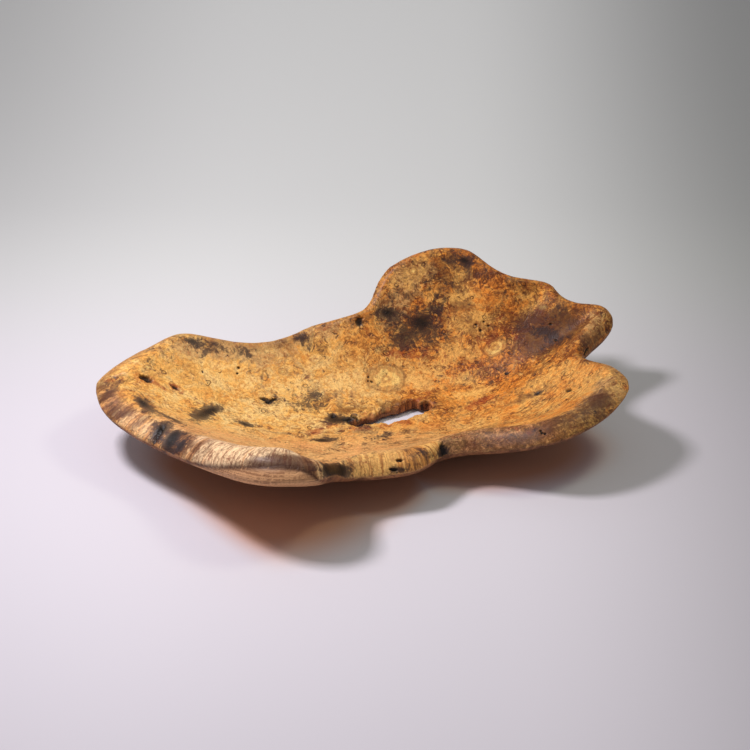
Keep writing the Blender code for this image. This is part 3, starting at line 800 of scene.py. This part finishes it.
@dataclass
class BurlBowl:
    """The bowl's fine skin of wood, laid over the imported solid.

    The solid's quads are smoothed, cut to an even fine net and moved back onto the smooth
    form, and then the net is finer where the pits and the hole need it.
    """

    net: float = 2.1 * MM
    fine_reach: float = 3.0 * MM
    sanded_size: float = 22 * MM
    sanded_depth: float = 0.5 * MM
    round_reach: float = 9.0 * MM
    round_steps: int = 14
    crack_depth: float = 3.0 * MM
    ridge_depth: float = 0.8 * MM
    ragged: float = 1.3 * MM

    def build(self, solid: bpy.types.Object) -> bpy.types.Object:
        """The dressed bowl.

        Args:
            solid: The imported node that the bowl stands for.

        Returns:
            The new object, at the origin and unturned.
        """
        form = self.smooth_form(solid)
        skin = self.even_net(form)
        tree = BVHTree.FromObject(form, bpy.context.evaluated_depsgraph_get())
        rim, hole = self.turning_lines(form)
        self.refine(skin, tree, rim, hole)
        self.finish_skin(skin, tree, rim, hole)
        bpy.data.objects.remove(form)
        LOG.info("%s: %d faces", skin.name, len(skin.data.polygons))
        return skin

    def smooth_form(self, solid: bpy.types.Object) -> bpy.types.Object:
        """A smooth copy of the solid, from its merged quads."""
        bm = bmesh.new()
        bm.from_mesh(solid.data)
        bmesh.ops.remove_doubles(bm, verts=bm.verts, dist=1e-6)
        bmesh.ops.join_triangles(bm, faces=bm.faces, angle_face_threshold=math.radians(60),
                                 angle_shape_threshold=math.radians(60), topology_influence=1.0)
        mesh = bpy.data.meshes.new("form")
        bm.to_mesh(mesh)
        bm.free()
        form = bpy.data.objects.new("form", mesh)
        bpy.context.scene.collection.objects.link(form)
        smooth = form.modifiers.new("smooth", "SUBSURF")
        smooth.levels = smooth.render_levels = 2
        return self.applied(form)

    def applied(self, item: bpy.types.Object) -> bpy.types.Object:
        """The object with its modifiers made part of its mesh."""
        bpy.context.view_layer.update()
        graph = bpy.context.evaluated_depsgraph_get()
        mesh = bpy.data.meshes.new_from_object(item.evaluated_get(graph))
        item.modifiers.clear()
        item.data = mesh
        return item

    def even_net(self, form: bpy.types.Object) -> bpy.types.Object:
        """An even net of small quads over the form."""
        skin = bpy.data.objects.new("burl_bowl_skin", form.data.copy())
        bpy.context.scene.collection.objects.link(skin)
        remesh = skin.modifiers.new("net", "REMESH")
        remesh.mode = "VOXEL"
        remesh.voxel_size = self.net
        return self.applied(skin)

    def turning_lines(self, form: bpy.types.Object) -> tuple[np.ndarray, np.ndarray]:
        """The lines where the form turns under: round the rim and round the hole.

        Args:
            form: The smooth form.

        Returns:
            Points along the rim, and points along the hole's wall.
        """
        mesh = form.data
        co = np.empty(len(mesh.vertices) * 3)
        mesh.vertices.foreach_get("co", co)
        co = co.reshape(-1, 3)
        up = np.empty(len(mesh.vertices) * 3)
        mesh.vertex_normals.foreach_get("vector", up)
        up = up.reshape(-1, 3)[:, 2]
        edges = np.empty(len(mesh.edges) * 2, dtype=int)
        mesh.edges.foreach_get("vertices", edges)
        edges = edges.reshape(-1, 2)
        turns = edges[(up[edges[:, 0]] > 0) != (up[edges[:, 1]] > 0)]
        share = up[turns[:, 0]] / (up[turns[:, 0]] - up[turns[:, 1]])
        points = co[turns[:, 0]] + (co[turns[:, 1]] - co[turns[:, 0]]) * share[:, None]
        near = np.hypot(points[:, 0] - HOLE_MIDDLE[0], points[:, 1] - HOLE_MIDDLE[1]) < HOLE_REACH
        return points[~near], points[near]

    def refine(self, skin: bpy.types.Object, tree: BVHTree, rim: np.ndarray, hole: np.ndarray) -> None:
        """Cut the net finer round the pits and the hole, and lay it back on the form."""
        bm = bmesh.new()
        bm.from_mesh(skin.data)
        spots = self.index([tuple(row) for row in hole])
        pits = [self.patch(row, tree) for row in PITS]
        for reach, close in ((7 * MM, 9 * MM), (2.5 * MM, 3 * MM)):
            chosen = set()
            for vert in bm.verts:
                if spots.find(vert.co)[2] < reach:
                    chosen.add(vert)
                    continue
                for middle, _, long, _, _ in pits:
                    if (vert.co - middle).length < long * 1.2 + close * 0.4:
                        chosen.add(vert)
                        break
            edges = [e for e in bm.edges if e.verts[0] in chosen and e.verts[1] in chosen]
            bmesh.ops.subdivide_edges(bm, edges=edges, cuts=1, use_grid_fill=True)
        for vert in bm.verts:
            vert.co = tree.find_nearest(vert.co)[0]
        edge = self.index([tuple(row) for row in rim])
        far = [v for v in bm.verts if v.co.y > 0.06 and v.co.z > 0.03 and edge.find(v.co)[2] < self.round_reach]
        for _ in range(self.round_steps):
            bmesh.ops.smooth_vert(bm, verts=far, factor=0.5, use_axis_x=True, use_axis_y=True, use_axis_z=True)
        bm.to_mesh(skin.data)
        bm.free()

    def index(self, points: list) -> kdtree.KDTree:
        """A tree for finding the nearest of some points."""
        tree = kdtree.KDTree(len(points))
        for number, point in enumerate(points):
            tree.insert(point, number)
        tree.balance()
        return tree

    def patch(self, row: Row, tree: BVHTree) -> tuple:
        """A patch's place on the form: its middle, its frame and its two half sizes.

        Args:
            row: The patch's row from its table.
            tree: The form, for finding the surface.

        Returns:
            The middle, the frame of its length, width and depth, and its half sizes.
        """
        above = Vector((row[0] * MM, row[1] * MM, 1.0))
        middle, normal, _, _ = tree.ray_cast(above, Vector((0, 0, -1)))
        if middle is None:
            middle, normal, _, _ = tree.find_nearest(Vector((row[0] * MM, row[1] * MM, 0.05)))
        across = (Vector((1, 0, 0)) - normal * normal.x).normalized()
        away = normal.cross(across)
        turn = math.radians(row[4])
        long_way = across * math.cos(turn) + away * math.sin(turn)
        wide_way = normal.cross(long_way)
        frame = np.array([long_way[:], wide_way[:], normal[:]])
        return middle, frame, row[2] * MM, row[3] * MM, row[5]

    def reach(self, co: np.ndarray, patch: tuple) -> np.ndarray:
        """How far each point lies from a patch's middle, as a share of its half sizes."""
        middle, frame, long, wide, _ = patch
        away = (co - np.array(middle)) @ frame.T
        return np.sqrt((away[:, 0] / long) ** 2 + (away[:, 1] / wide) ** 2 + (away[:, 2] / long) ** 2)

    def finish_skin(self, skin: bpy.types.Object, tree: BVHTree, rim: np.ndarray,
                    hole: np.ndarray) -> None:
        """Carve the relief and write what the wood's material reads at each point."""
        mesh = skin.data
        count = len(mesh.vertices)
        co = np.empty(count * 3)
        mesh.vertices.foreach_get("co", co)
        co = co.reshape(-1, 3)
        normal = np.empty(count * 3)
        mesh.vertex_normals.foreach_get("vector", normal)
        normal = normal.reshape(-1, 3)
        rim_tree, hole_tree = self.index(list(rim)), self.index(list(hole))
        foot = np.array([rim_tree.find(point)[0][:] for point in co])
        gap = np.linalg.norm(co - foot, axis=1)
        hole_gap = np.array([hole_tree.find(point)[2] for point in co])
        top = smooth_step(-0.12, 0.08, normal[:, 2])
        x_mm, z_mm = co[:, 0] / MM, co[:, 2] / MM
        near_side = smooth_step(-0.005, -0.04, foot[:, 1] - 0.1 * np.abs(foot[:, 0]))
        dug = np.zeros(count)
        depth = np.zeros(count)
        rough = np.array([noise.noise(Vector(point) / (2.6 * MM)) for point in co])
        for row in PITS:
            share = self.reach(co, self.patch(row, tree)) * (0.95 + 0.35 * rough)
            depth = np.maximum(depth, (1 - smooth_step(0.45, 1.2, share)) * row[5] * MM)
            dug = np.maximum(dug, 1 - smooth_step(0.55, 1.15, share))
        crack = self.crack_gap(co, tree)
        crack_share = 1 - smooth_step(0.4 * MM, 1.4 * MM, crack)
        depth = np.maximum(depth, crack_share * self.crack_depth)
        dug = np.maximum(dug, crack_share)

        lobe = np.interp(x_mm, (-136, -128, -32, -27), (0, 1, 1, 0)) * smooth_step(-0.085, -0.1, co[:, 1])
        outward = smooth_step(0.05, 0.25, -normal[:, 1])
        ridge_z = np.interp(x_mm, *zip(*RIDGE_LINE))
        facet = lobe * outward * smooth_step(-0.4, 0.6, ridge_z - z_mm)
        ridge = lobe * np.exp(-((z_mm - ridge_z) / 1.9) ** 2) * smooth_step(-0.1, 0.1, -normal[:, 1])

        ragged = np.zeros(count)
        for number in np.nonzero(hole_gap < 0.014)[0]:
            place = Vector(co[number])
            ragged[number] = noise.noise(place / (5 * MM)) + 0.5 * noise.noise(place / (2.2 * MM))
        ragged *= (1 - smooth_step(0.003, 0.012, hole_gap)) * self.ragged
        brow = np.interp(x_mm, *zip(*HOLE_BROW), left=0, right=0) * MM
        facing = np.clip(-normal[:, 1], 0, 1) ** 0.5
        low = smooth_step(14, 4, z_mm) * smooth_step(0.2, 1.5, z_mm)
        brow *= facing * low * (1 - smooth_step(0.006, 0.014, hole_gap)) * (co[:, 1] > 0.02)

        sanded = np.array([noise.noise(Vector(point) / self.sanded_size) for point in co])
        flat = smooth_step(0.0005, 0.004, co[:, 2])
        sink = depth + ragged + (0.5 + 0.5 * sanded) * self.sanded_depth + ridge * self.ridge_depth
        moved = co - normal * (sink * flat)[:, None]
        moved[:, 1] -= brow
        mesh.vertices.foreach_set("co", moved.reshape(-1))

        niche = smooth_step(28, 34, x_mm) * (co[:, 1] > 0.045) * smooth_step(13, 8, z_mm)
        lower = np.maximum(smooth_step(4.0, 2.0, z_mm), niche)
        wall = (1 - smooth_step(0.005, 0.010, hole_gap)) * lower
        lip = (1 - smooth_step(0.0008, 0.003, hole_gap)) * 0.6
        hole_share = np.maximum(wall * 0.92, lip)
        band_width = np.interp(foot[:, 0] / MM, *zip(*BAND_WIDTH)) * MM
        band = smooth_step(-0.2, 0.25, 1 - gap / np.maximum(band_width, 1e-4))
        cuff = np.interp(foot[:, 0] / MM, (64, 74, 200, 214), (0, 1, 0.8, 0))
        fields = {
            "dug_share": dug * top,
            "hole_share": hole_share,
            "band_share": top * near_side * band * (band_width > 0.002),
            # The near left lobe's band: pink and lighter, partly its pale wood and partly painted sheen.
            "band_sheen": np.interp(x_mm, (-190, -150, -128, -40, -25, 0), (0.55, 0.5, 1, 1, 0.3, 0.1)),
            "band_tone": np.interp(x_mm, (-220, -150, -125, -108, -62, -40, -20, 10, 70), (-0.03, -0.04, 0.05, 0.12, 0.12, -0.01, 0.03, 0.08, 0.06)),
            "cuff_share": top * near_side * cuff * (1 - smooth_step(0.012, 0.034, gap)),
            "cuff_olive": smooth_step(135, 175, x_mm),
            "facet_share": facet,
            "under_share": 1 - top,
            "ridge_share": ridge,
            "warmth": smooth_step(-0.04, 0.09, co[:, 0] * 0.8 + (co[:, 1] - 0.05) * 0.5) * 0.9,
            "arc_share": 1 - smooth_step(-0.015, 0.04, co[:, 1] - 0.22 * co[:, 0] + 0.012),
            "far_rim": top * (1 - near_side) * (1 - smooth_step(0.004, 0.02, gap)),
            "knotty": 0.12 + 0.3 * smooth_step(-0.09, -0.02, co[:, 0]) + 0.36 * smooth_step(0.0, 0.09, co[:, 0])
            * smooth_step(0.0, 0.06, co[:, 1]),
        }
        for stain, rows in STAIN_ROWS.items():
            left = np.ones(count)
            for row in rows:
                share = self.reach(co, self.patch(row, tree))
                left *= 1 - row[5] * np.exp(-0.85 * share ** 2)
            fields[stain.value] = (1 - left) * top
        eye = np.full(count, 3.0)
        for row in EYES:
            eye = np.minimum(eye, self.reach(co, self.patch(row, tree)) + 0.7 * (1 - row[5]))
        fields["eye_reach"] = np.where(top > 0.5, eye, 3.0)
        for name, values in fields.items():
            layer = mesh.attributes.new(name, "FLOAT", "POINT")
            layer.data.foreach_set("value", np.asarray(values, dtype=np.float32))
        along, across = self.grain(co)
        runs = {
            "rim_run": foot + (co - foot) * 0.12,
            "rim_along": foot * 0.05 + (co - foot),
            "grain_run": np.stack([along * 0.08, across, co[:, 2] * 0.6], axis=1),
        }
        for name, values in runs.items():
            layer = mesh.attributes.new(name, "FLOAT_VECTOR", "POINT")
            layer.data.foreach_set("vector", values.astype(np.float32).reshape(-1))
        mesh.shade_smooth()

    def crack_gap(self, co: np.ndarray, tree: BVHTree) -> np.ndarray:
        """How far each point lies from the nearest open crack.

        Args:
            co: The points.
            tree: The form, for laying the cracks on it.

        Returns:
            Metres from the nearest crack's line.
        """
        best = np.full(len(co), 1.0)
        for line in CRACKS:
            laid = []
            for across, away in line:
                hit = tree.ray_cast(Vector((across * MM, away * MM, 1.0)), Vector((0, 0, -1)))[0]
                if hit is not None:
                    laid.append(np.array(hit))
            for start, end in zip(laid, laid[1:]):
                step = end - start
                share = np.clip((co - start) @ step / (step @ step), 0, 1)
                best = np.minimum(best, np.linalg.norm(co - start - share[:, None] * step, axis=1))
        return best

    def grain(self, co: np.ndarray) -> tuple[np.ndarray, np.ndarray]:
        """How far along and how far off the grain line each point lies.

        Args:
            co: The points.

        Returns:
            Metres along the line and metres off it.
        """
        line = np.array(GRAIN_LINE) * MM
        for _ in range(3):
            first, second = line[:-1], line[1:]
            cut = np.stack([first * 0.75 + second * 0.25, first * 0.25 + second * 0.75], axis=1)
            line = np.vstack([line[:1], cut.reshape(-1, 2), line[-1:]])
        travel = np.append(0, np.cumsum(np.linalg.norm(np.diff(line, axis=0), axis=1)))
        best = np.full(len(co), 9.0)
        along = np.zeros(len(co))
        across = np.zeros(len(co))
        for number in range(len(line) - 1):
            start, step = line[number], line[number + 1] - line[number]
            length = np.linalg.norm(step)
            way = step / length
            off = co[:, :2] - start
            share = np.clip(off @ way, 0, length)
            away = off - share[:, None] * way
            distance = np.linalg.norm(away, axis=1)
            better = distance < best
            best[better] = distance[better]
            along[better] = travel[number] + share[better]
            side = way[0] * off[:, 1] - way[1] * off[:, 0]
            across[better] = (distance * np.sign(side))[better]
        return along, across


@dataclass
class Studio:
    """A pale paper sweep, a strong soft light from the left and a weak one from the right."""

    key_place: tuple = (-0.46, 0.0145, 0.81)
    fill_place: tuple = (0.46, 0.0145, 0.81)
    key_power: float = 6.6
    fill_power: float = 1.2
    key_colour: Colour = (1.0, 0.95, 1.0)
    fill_colour: Colour = (0.97, 1.0, 0.76)
    lamp_size: float = 0.18
    paper: tuple = (0.745, 0.71, 0.765, 1.0)
    far_paper: tuple = (0.73, 0.735, 0.725, 1.0)
    # Painted shadow: a brown darkening of the paper under and in front of the bowl, for its shadow and the warm light
    # bounced off the wood.
    painted_shadow_brown: tuple = (0.8, 0.46, 0.29, 1.0)
    painted_shadow_places: tuple = (
        ((-0.075, -0.05, 0.0), (0.12, 0.13, 1.0)),
        ((0.0, -0.055, 0.0), (0.06, 0.066, 1.0)),
        ((0.09, 0.0, 0.0), (0.125, 0.078, 1.0)),
    )
    painted_shadow_side: tuple = (-0.804, -0.593, 0.0)
    room: tuple = (0.98, 0.97, 1.0, 1.0)
    room_strength: float = 0.3
    back_power: float = 1.6
    back_place: tuple = (0.0, 0.4, 0.85)
    sweep_start: float = 0.5
    sweep_radius: float = 0.9
    camera_lens: float = 85.68
    camera_distance: float = 1.5
    camera_rise: float = math.radians(29)
    camera_aim: tuple = (0.0109, 0.0130, 0.062)

    def build(self) -> None:
        """The floor, the lamps, the room's light and the camera."""
        self.sweep()
        self.lamp("key_lamp", self.key_place, self.key_power, self.key_colour)
        self.lamp("fill_lamp", self.fill_place, self.fill_power, self.fill_colour)
        self.lamp("back_lamp", self.back_place, self.back_power, (1.0, 1.0, 1.0), Vector((0, 1.0, -0.35)))
        world = bpy.data.worlds.new("room")
        bpy.context.scene.world = world
        world.use_nodes = True
        world.node_tree.nodes["Background"].inputs["Color"].default_value = self.room
        world.node_tree.nodes["Background"].inputs["Strength"].default_value = self.room_strength
        bpy.context.scene.view_settings.view_transform = "Standard"
        self.camera()
        LOG.info("studio: sweep, two lamps and the camera")

    def sweep(self) -> None:
        """A floor that curves up behind the bowl."""
        bm = bmesh.new()
        bmesh.ops.create_grid(bm, x_segments=1, y_segments=1, size=3.0)
        bmesh.ops.translate(bm, verts=bm.verts, vec=(0, self.sweep_start - 3.0, 0))
        back = [e for e in bm.edges if all(v.co.y > self.sweep_start - 0.001 for v in e.verts)]
        centre = (0, self.sweep_start, self.sweep_radius)
        bmesh.ops.spin(bm, geom=back, cent=centre, axis=(1, 0, 0), angle=math.radians(80), steps=40)
        bmesh.ops.recalc_face_normals(bm, faces=bm.faces)
        mesh = bpy.data.meshes.new("paper_sweep")
        bm.to_mesh(mesh)
        bm.free()
        mesh.shade_smooth()
        sweep = bpy.data.objects.new("paper_sweep", mesh)
        bpy.context.scene.collection.objects.link(sweep)
        material = bpy.data.materials.new("pale_paper")
        material.use_nodes = True
        shader = material.node_tree.nodes["Principled BSDF"]
        nodes = Nodes(material.node_tree)
        point = nodes.add("ShaderNodeTexCoord").outputs["Object"]
        across = nodes.add("ShaderNodeSeparateXYZ", {0: point})
        far = nodes.step(across.outputs[1], 0.0, 0.4)
        tint = nodes.mix(far, self.paper, self.far_paper)
        # Painted shade: the paper darker towards the right and a little towards the left, where the lamps' light falls
        # off.
        right = nodes.step(across.outputs[0], 0.1, 0.5, 1.0, 0.5)
        left = nodes.step(nodes.maths("MULTIPLY", across.outputs[0], -1.0), 0.12, 0.55, 1.0, 0.78)
        shade = nodes.maths("MULTIPLY", right, left)
        grey = nodes.add("ShaderNodeCombineColor", {0: shade, 1: shade, 2: shade}).outputs[0]
        level = nodes.vectors("MULTIPLY", point, (1.0, 1.0, 0.0))
        # Painted shadow on the paper, kept off the spot seen through the hole and off the lit floor past the shadow's
        # edge.
        painted_shadow_share = 0.0
        for middle, half in self.painted_shadow_places:
            off = nodes.vectors("DIVIDE", nodes.vectors("SUBTRACT", level, middle), half)
            reach = nodes.add("ShaderNodeVectorMath", {0: off}, operation="LENGTH").outputs["Value"]
            painted_shadow_share = nodes.maths("MAXIMUM", painted_shadow_share, nodes.step(reach, 0.65, 1.1, 1.0, 0.0))
        off_hole = nodes.vectors("SUBTRACT", level, (0.03, 0.06, 0.0))
        open_light = nodes.step(nodes.add("ShaderNodeVectorMath", {0: off_hole}, operation="LENGTH").outputs["Value"],
                                0.03, 0.06)
        beyond = nodes.add("ShaderNodeVectorMath", {0: level, 1: self.painted_shadow_side}, operation="DOT_PRODUCT").outputs["Value"]
        inside = nodes.step(beyond, 0.145, 0.178, 1.0, 0.0)
        painted_shadow_share = nodes.maths("MULTIPLY", nodes.maths("MULTIPLY", painted_shadow_share, open_light), inside)
        paper = nodes.mix(1.0, tint, grey, "MULTIPLY")
        painted_shadow_paper = nodes.mix(1.0, paper, self.painted_shadow_brown, "MULTIPLY")
        nodes.feed(shader.inputs["Base Color"], nodes.mix(painted_shadow_share, paper, painted_shadow_paper))
        shader.inputs["Roughness"].default_value = 0.85
        shader.inputs["Specular IOR Level"].default_value = 0.1
        mesh.materials.append(material)

    def lamp(self, name: str, place: tuple, power: float, colour: Colour, way: Vector | None = None) -> None:
        """A square soft lamp that faces the bowl, or another way if one is given."""
        light = bpy.data.lights.new(name, "AREA")
        light.energy = power
        light.size = self.lamp_size
        light.color = colour
        lamp = bpy.data.objects.new(name, light)
        lamp.location = place
        lamp.rotation_euler = (way or -Vector(place)).to_track_quat("-Z", "Y").to_euler()
        bpy.context.scene.collection.objects.link(lamp)

    def camera(self) -> None:
        """The camera, level with the photograph's view from the front and above."""
        data = bpy.data.cameras.new("camera")
        data.lens = self.camera_lens
        data.sensor_width = 36.0
        data.clip_start = 0.01
        camera = bpy.data.objects.new("camera", data)
        look = Vector((0, math.cos(self.camera_rise), -math.sin(self.camera_rise)))
        camera.location = Vector(self.camera_aim) - look * self.camera_distance
        camera.rotation_euler = look.to_track_quat("-Z", "Y").to_euler()
        bpy.context.scene.collection.objects.link(camera)
        bpy.context.scene.camera = camera


def main() -> None:
    """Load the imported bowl, dress it and light it."""
    logging.basicConfig(level=logging.INFO, format="%(name)s: %(message)s")
    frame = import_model()
    Studio().build()
    skin = BurlBowl().build(frame["nodes"]["burl_bowl"])
    skin.data.materials.clear()
    skin.data.materials.append(BurlWood().build())
    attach(skin, "root")
    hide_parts("burl_bowl")


if __name__ == "__main__":
    main()
